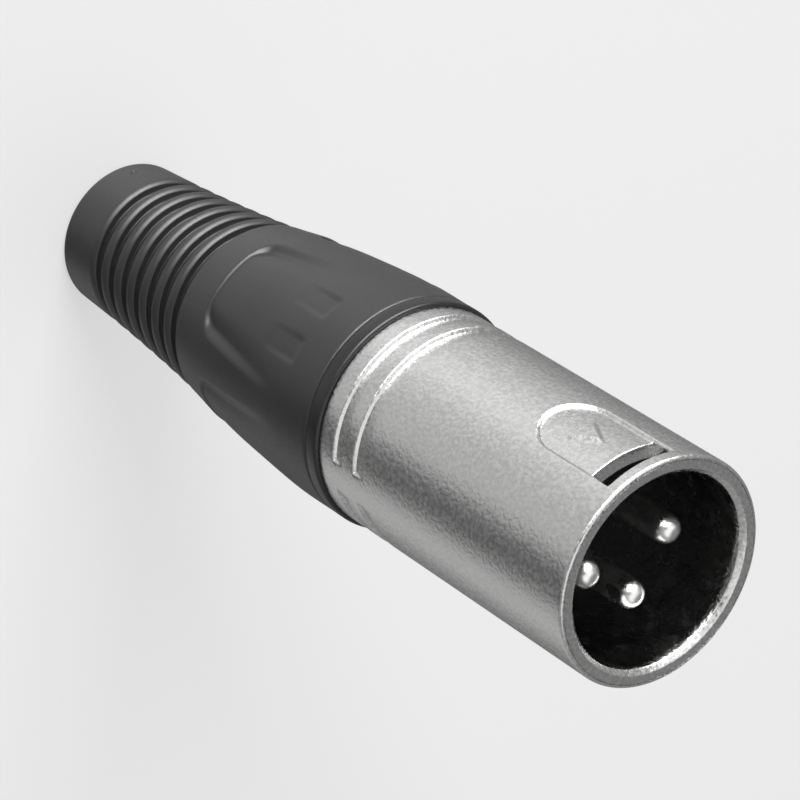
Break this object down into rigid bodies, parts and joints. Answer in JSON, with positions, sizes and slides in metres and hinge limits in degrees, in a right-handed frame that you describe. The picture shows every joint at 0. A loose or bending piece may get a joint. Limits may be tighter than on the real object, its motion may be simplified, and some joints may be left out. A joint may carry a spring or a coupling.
{
  "type": "three-pole male circular cable connector",
  "caption": "Cable-end male audio plug: round metal shell with latch window and thumb recess, contact pins, and a ribbed rubber boot on a screwed gland.",
  "frame": {"origin": "centre of the rear face of the boot, on the plug's axis", "axes": "+Z along the axis from the cable end to the mouth, -Y out of the latch window, +X through contact 1"},
  "size_m": [0.0198, 0.0198, 0.0727],
  "materials": {
    "shell_nickel": "satin nickel over a fine cast grain",
    "insert_plastic": "matt black moulding",
    "contact_silver": "silver-plated, turned",
    "tab_tinned": "tinned strip",
    "chuck_plastic": "smooth dark acetal",
    "gland_plastic": "smooth black moulding",
    "boot_rubber": "dark elastomer with a soft sheen"
  },
  "bodies": {
    "shell_body": {"shell": "shell_nickel", "insert": "insert_plastic", "pin_1": "contact_silver", "pin_2": "contact_silver", "pin_3": "contact_silver", "ground_tab": "tab_tinned"},
    "chuck_body": {"chuck": "chuck_plastic"},
    "gland_body": {"gland_core": "gland_plastic", "boot": "boot_rubber"}
  },
  "joints": [
    {"name": "chuck_travel", "type": "slide", "parent": "shell_body", "child": "chuck_body", "axis": [0, 0, -1], "range_m": [0, 0.004]},
    {"name": "gland_turn", "type": "hinge", "parent": "chuck_body", "child": "gland_body", "pos_m": [0, 0, 0.0424], "axis": [0, 0, -1], "range_deg": [0, 1440]}
  ],
  "couplings": [
    {"joint": "chuck_travel", "follows": "gland_turn", "m_per_rad": 0.00015915}
  ]
}
